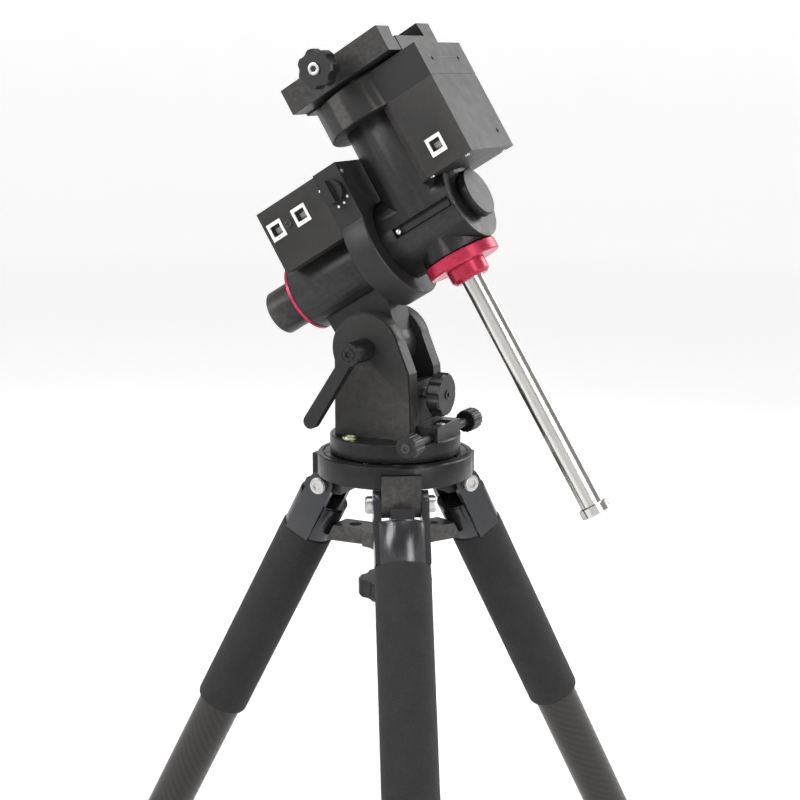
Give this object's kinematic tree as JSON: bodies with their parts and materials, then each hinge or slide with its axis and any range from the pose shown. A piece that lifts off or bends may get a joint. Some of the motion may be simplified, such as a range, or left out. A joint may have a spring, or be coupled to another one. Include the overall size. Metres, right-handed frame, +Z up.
{
  "type": "german equatorial star tracker mount on tripod",
  "caption": "Motor-driven two-axis equatorial head with a dovetail saddle and counterweight shaft, on a folding carbon-fibre tripod with foam-gripped telescoping legs.",
  "frame": {"origin": "on the ground, under the middle of the whole object's bounding box", "axes": "+Z up, +X towards the pole that the polar axis points at, +Y to the left of that"},
  "size_m": [0.5551, 0.62, 0.9369],
  "materials": {
    "black_anodised": "satin black anodised",
    "fork_coat": "fine satin coat",
    "cover_coat": "fine satin coat",
    "red_anodised": "satin red anodised",
    "stainless": "brushed",
    "leg_metal": "satin dark grey",
    "carbon": "clear-coated carbon weave",
    "foam": "matt closed-cell foam",
    "black_plastic": "fine moulded grain",
    "rubber": "matt rubber",
    "white_plastic": "moulded white",
    "brass": "machined",
    "level_vial": "clear vial with green fluid"
  },
  "bodies": {
    "tripod_head": {"tripod_plate": "black_anodised", "center_rod": "stainless", "rod_knob": "black_plastic", "alignment_peg": "stainless", "hinge_bolts": "stainless"},
    "supporter": {"supporter": "black_anodised", "supporter_knob": "black_plastic"},
    "azimuth_base": {"base_disc": "black_anodised", "yoke": "fork_coat", "bubble_level": "level_vial", "alt_axle": "stainless"},
    "az_west": {"az_screw_west": "stainless"},
    "az_east": {"az_screw_east": "stainless"},
    "alt_lever": {"alt_lever": "black_plastic"},
    "alt_screw": {"alt_screw": "stainless", "alt_knob": "black_plastic"},
    "polar_head": {"ra_housing": "black_anodised", "ra_gear_housing": "fork_coat", "ra_motor_cover": "cover_coat", "ra_ports": "white_plastic", "ra_trim_ring": "red_anodised", "polar_scope": "black_anodised", "ra_bearings": "stainless"},
    "ra_clutch": {"clutch_knob": "black_plastic"},
    "dec_body": {"dec_housing": "black_anodised", "dec_gear_housing": "fork_coat", "dec_motor_cover": "cover_coat", "dec_port": "white_plastic", "front_cap": "black_anodised", "cw_lock_ring": "red_anodised", "cw_collar": "red_anodised", "cw_shaft": "stainless", "cw_end_cap": "stainless", "ra_shaft": "stainless", "ra_wheel": "brass", "dec_bearings": "stainless", "slot_lever": "black_plastic"},
    "saddle": {"saddle_base": "black_anodised", "dec_shaft": "stainless", "dec_wheel": "brass"},
    "clamp_jaw": {"clamp_jaw": "black_anodised"},
    "saddle_knob": {"saddle_knob": "black_plastic"},
    "leg_1": {"leg_clevis_1": "leg_metal", "leg_tube_1": "carbon", "leg_grip_1": "foam"},
    "lock_1": {"leg_lock_1": "black_plastic"},
    "lower_leg_1": {"lower_tube_1": "carbon", "leg_foot_1": "rubber"},
    "leg_2": {"leg_clevis_2": "leg_metal", "leg_tube_2": "carbon", "leg_grip_2": "foam"},
    "lock_2": {"leg_lock_2": "black_plastic"},
    "lower_leg_2": {"lower_tube_2": "carbon", "leg_foot_2": "rubber"},
    "leg_3": {"leg_clevis_3": "leg_metal", "leg_tube_3": "carbon", "leg_grip_3": "foam"},
    "lock_3": {"leg_lock_3": "black_plastic"},
    "lower_leg_3": {"lower_tube_3": "carbon", "leg_foot_3": "rubber"}
  },
  "joints": [
    {"name": "azimuth", "type": "hinge", "parent": "tripod_head", "child": "azimuth_base", "pos_m": [0.07773, 0, 0.56756], "axis": [0, 0, 1], "range_deg": [-8, 8]},
    {"name": "az_screw_west_travel", "type": "slide", "parent": "azimuth_base", "child": "az_west", "axis": [0, 1, 0], "range_m": [-0.0065, 0.0065]},
    {"name": "az_screw_east_travel", "type": "slide", "parent": "azimuth_base", "child": "az_east", "axis": [0, 1, 0], "range_m": [-0.0065, 0.0065]},
    {"name": "altitude", "type": "hinge", "parent": "azimuth_base", "child": "polar_head", "pos_m": [0.06473, 0, 0.66156], "axis": [0, -1, 0], "range_deg": [-9, 29]},
    {"name": "alt_screw_travel", "type": "slide", "parent": "azimuth_base", "child": "alt_screw", "axis": [1, 0, 0], "range_m": [-0.0066, 0.0205]},
    {"name": "alt_lever_turn", "type": "hinge", "parent": "azimuth_base", "child": "alt_lever", "pos_m": [0.06473, -0.05, 0.66156], "axis": [0, 1, 0], "range_deg": [0, 60]},
    {"name": "ra_axis", "type": "hinge", "parent": "polar_head", "child": "dec_body", "pos_m": [0.11935, 0, 0.77627], "axis": [0.8572, 0, 0.515], "range_deg": [-120, 120]},
    {"name": "clutch_turn", "type": "hinge", "parent": "polar_head", "child": "ra_clutch", "pos_m": [0.04195, -0.045, 0.79673], "axis": [0, 1, 0], "range_deg": [0, 90]},
    {"name": "dec_axis", "type": "hinge", "parent": "dec_body", "child": "saddle", "pos_m": [0.06269, 0, 0.87056], "axis": [-0.515, 0, 0.8572], "continuous": true},
    {"name": "saddle_knob_turn", "type": "hinge", "parent": "clamp_jaw", "child": "saddle_knob", "pos_m": [0.0457, -0.075, 0.89885], "axis": [0, -1, 0], "range_deg": [0, 2400]},
    {"name": "jaw_travel", "type": "slide", "parent": "saddle", "child": "clamp_jaw", "axis": [0, -1, 0], "range_m": [0, 0.008]},
    {"name": "leg_fold_1", "type": "hinge", "parent": "tripod_head", "child": "leg_1", "pos_m": [0.01473, 0, 0.53456], "axis": [0, -1, 0], "range_deg": [0, 10.3]},
    {"name": "leg_extend_1", "type": "slide", "parent": "leg_1", "child": "lower_leg_1", "axis": [-0.4695, 0, -0.8829], "range_m": [0, 0.38]},
    {"name": "lock_turn_1", "type": "hinge", "parent": "leg_1", "child": "lock_1", "pos_m": [-0.2247, 0, 0.08425], "axis": [-0.4695, 0, -0.8829], "range_deg": [0, 60]},
    {"name": "leg_fold_2", "type": "hinge", "parent": "tripod_head", "child": "leg_2", "pos_m": [0.10923, 0.05456, 0.53456], "axis": [-0.866, 0.5, 0], "range_deg": [0, 10.35]},
    {"name": "leg_extend_2", "type": "slide", "parent": "leg_2", "child": "lower_leg_2", "axis": [0.2347, 0.4066, -0.8829], "range_m": [0, 0.38]},
    {"name": "lock_turn_2", "type": "hinge", "parent": "leg_2", "child": "lock_2", "pos_m": [0.22894, 0.26191, 0.08425], "axis": [0.2347, 0.4066, -0.8829], "range_deg": [0, 60]},
    {"name": "leg_fold_3", "type": "hinge", "parent": "tripod_head", "child": "leg_3", "pos_m": [0.10923, -0.05456, 0.53456], "axis": [0.866, 0.5, 0], "range_deg": [0, 10.35]},
    {"name": "leg_extend_3", "type": "slide", "parent": "leg_3", "child": "lower_leg_3", "axis": [0.2347, -0.4066, -0.8829], "range_m": [0, 0.38]},
    {"name": "lock_turn_3", "type": "hinge", "parent": "leg_3", "child": "lock_3", "pos_m": [0.22894, -0.26191, 0.08425], "axis": [0.2347, -0.4066, -0.8829], "range_deg": [0, 60]},
    {"name": "supporter_travel", "type": "slide", "parent": "tripod_head", "child": "supporter", "axis": [0, 0, 1], "range_m": [-0.0605, 0]}
  ],
  "couplings": [
    {"joint": "az_screw_west_travel", "follows": "azimuth", "m_per_rad": -0.044},
    {"joint": "az_screw_east_travel", "follows": "azimuth", "m_per_rad": -0.044},
    {"joint": "alt_screw_travel", "follows": "altitude", "m_per_rad": 0.04},
    {"joint": "saddle_knob_turn", "follows": "jaw_travel", "rad_per_m": 5026.5},
    {"joint": "leg_fold_2", "follows": "leg_fold_1", "ratio": 1},
    {"joint": "leg_fold_3", "follows": "leg_fold_1", "ratio": 1},
    {"joint": "supporter_travel", "follows": "leg_fold_1", "m_per_rad": -0.33333}
  ]
}
